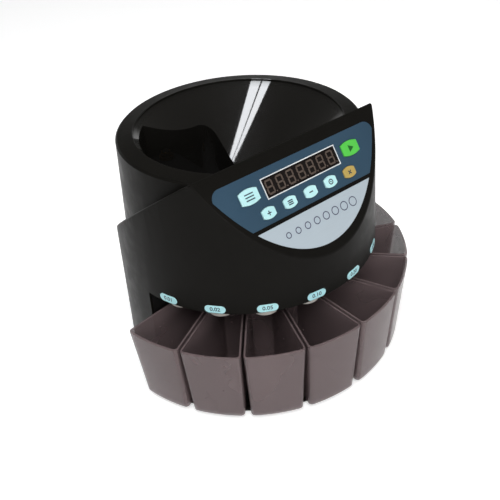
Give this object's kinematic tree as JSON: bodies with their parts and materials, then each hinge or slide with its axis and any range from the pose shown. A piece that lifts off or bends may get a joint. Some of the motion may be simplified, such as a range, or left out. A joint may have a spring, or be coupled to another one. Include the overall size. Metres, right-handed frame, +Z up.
{
  "type": "coin sorter",
  "caption": "Counter-top coin sorter with a round hopper, sloping key panel with display, motor-driven carrier disc, coin chutes and a fan of pull-out coin cups.",
  "frame": {"origin": "under the middle of the footprint, on the table", "axes": "+X to the right seen from the front, -Y towards the user and the panel, +Z up"},
  "size_m": [0.3506, 0.3224, 0.2596],
  "materials": {
    "body_black": "satin moulded",
    "hopper_black": "gloss",
    "rubber_black": "matt",
    "overlay_blue": "satin printed film",
    "nameplate_silver": "satin",
    "window_smoke": "gloss",
    "frame_white": "satin",
    "display_dark": "matt",
    "board_green": "solder mask",
    "switch_black": "matt",
    "label_cyan": "printed film",
    "chute_white": "moulded",
    "steel": "bright",
    "deck_steel": "zinc plated",
    "bearing_grey": "cast",
    "bush_bronze": "sintered",
    "motor_zinc": "zinc plated",
    "core_grey": "lacquered laminations",
    "coil_copper": "enamelled winding",
    "pulley_white": "moulded",
    "inlet_black": "satin",
    "disc_grey": "satin",
    "cup_smoke": "smoke tinted",
    "key_cyan": "satin",
    "key_green": "satin",
    "key_tan": "satin"
  },
  "bodies": {
    "chassis": {"base_pan": "body_black", "rubber_feet": "rubber_black", "main_housing": "body_black", "hopper_bowl": "hopper_black", "panel_overlay": "overlay_blue", "nameplate": "nameplate_silver", "display_window": "window_smoke", "display_frame": "frame_white", "display_module": "display_dark", "control_board": "board_green", "tact_switches": "switch_black", "denomination_labels": "label_cyan", "coin_chutes": "chute_white", "sorting_plate": "steel", "plate_spacers": "steel", "sensor_board": "board_green", "bay_wall": "body_black", "deck_plate": "deck_steel", "deck_posts": "steel", "bearing_housing": "bearing_grey", "shaft_bushes": "bush_bronze", "gearbox": "motor_zinc", "drive_motor": "motor_zinc", "drive_belt": "rubber_black", "transformer_core": "core_grey", "transformer_coil": "coil_copper", "power_board": "board_green", "board_standoffs": "pulley_white", "rear_plate": "body_black", "mains_inlet": "inlet_black", "power_switch_body": "inlet_black", "base_screws": "steel", "deck_screws": "steel", "board_screws": "steel", "motor_screws": "steel"},
    "sorting_rotor": {"carrier_disc": "disc_grey", "drive_shaft": "steel", "driven_pulley": "pulley_white", "hub_nut": "bush_bronze"},
    "motor_rotor": {"motor_pulley": "pulley_white"},
    "power_rocker": {"power_rocker": "inlet_black"},
    "cup_1": {"cup_1": "cup_smoke"},
    "cup_2": {"cup_2": "cup_smoke"},
    "cup_3": {"cup_3": "cup_smoke"},
    "cup_4": {"cup_4": "cup_smoke"},
    "cup_5": {"cup_5": "cup_smoke"},
    "cup_6": {"cup_6": "cup_smoke"},
    "cup_7": {"cup_7": "cup_smoke"},
    "cup_8": {"cup_8": "cup_smoke"},
    "key_list": {"key_list": "key_cyan"},
    "key_start": {"key_start": "key_green"},
    "key_plus": {"key_plus": "key_cyan"},
    "key_batch": {"key_batch": "key_cyan"},
    "key_minus": {"key_minus": "key_cyan"},
    "key_set": {"key_set": "key_cyan"},
    "key_clear": {"key_clear": "key_tan"}
  },
  "joints": [
    {"name": "rotor_spin", "type": "hinge", "parent": "chassis", "child": "sorting_rotor", "pos_m": [0, 0.01625, 0.151], "axis": [0, 0, 1], "continuous": true},
    {"name": "motor_spin", "type": "hinge", "parent": "chassis", "child": "motor_rotor", "pos_m": [0, 0.09625, 0.133], "axis": [0, 0, 1], "continuous": true},
    {"name": "power_rocker_tip", "type": "hinge", "parent": "chassis", "child": "power_rocker", "pos_m": [0.026, 0.14425, 0.048], "axis": [1, 0, 0], "range_deg": [0, 18]},
    {"name": "cup_1_slide", "type": "slide", "parent": "chassis", "child": "cup_1", "axis": [-0.9542, -0.2992, 0], "range_m": [0, 0.07]},
    {"name": "cup_2_slide", "type": "slide", "parent": "chassis", "child": "cup_2", "axis": [-0.7864, -0.6177, 0], "range_m": [0, 0.07]},
    {"name": "cup_3_slide", "type": "slide", "parent": "chassis", "child": "cup_3", "axis": [-0.5167, -0.8562, 0], "range_m": [0, 0.07]},
    {"name": "cup_4_slide", "type": "slide", "parent": "chassis", "child": "cup_4", "axis": [-0.18, -0.9837, 0], "range_m": [0, 0.07]},
    {"name": "cup_5_slide", "type": "slide", "parent": "chassis", "child": "cup_5", "axis": [0.18, -0.9837, 0], "range_m": [0, 0.07]},
    {"name": "cup_6_slide", "type": "slide", "parent": "chassis", "child": "cup_6", "axis": [0.5167, -0.8562, 0], "range_m": [0, 0.07]},
    {"name": "cup_7_slide", "type": "slide", "parent": "chassis", "child": "cup_7", "axis": [0.7864, -0.6177, 0], "range_m": [0, 0.07]},
    {"name": "cup_8_slide", "type": "slide", "parent": "chassis", "child": "cup_8", "axis": [0.9542, -0.2992, 0], "range_m": [0, 0.07]},
    {"name": "key_list_press", "type": "slide", "parent": "chassis", "child": "key_list", "axis": [0, 0.83, -0.5577], "range_m": [0, 0.0008], "stiffness_N_per_m": 1500},
    {"name": "key_start_press", "type": "slide", "parent": "chassis", "child": "key_start", "axis": [0, 0.83, -0.5577], "range_m": [0, 0.0008], "stiffness_N_per_m": 1500},
    {"name": "key_plus_press", "type": "slide", "parent": "chassis", "child": "key_plus", "axis": [0, 0.83, -0.5577], "range_m": [0, 0.0008], "stiffness_N_per_m": 1500},
    {"name": "key_batch_press", "type": "slide", "parent": "chassis", "child": "key_batch", "axis": [0, 0.83, -0.5577], "range_m": [0, 0.0008], "stiffness_N_per_m": 1500},
    {"name": "key_minus_press", "type": "slide", "parent": "chassis", "child": "key_minus", "axis": [0, 0.83, -0.5577], "range_m": [0, 0.0008], "stiffness_N_per_m": 1500},
    {"name": "key_set_press", "type": "slide", "parent": "chassis", "child": "key_set", "axis": [0, 0.83, -0.5577], "range_m": [0, 0.0008], "stiffness_N_per_m": 1500},
    {"name": "key_clear_press", "type": "slide", "parent": "chassis", "child": "key_clear", "axis": [0, 0.83, -0.5577], "range_m": [0, 0.0008], "stiffness_N_per_m": 1500}
  ],
  "couplings": [
    {"joint": "motor_spin", "follows": "rotor_spin", "ratio": 4}
  ]
}
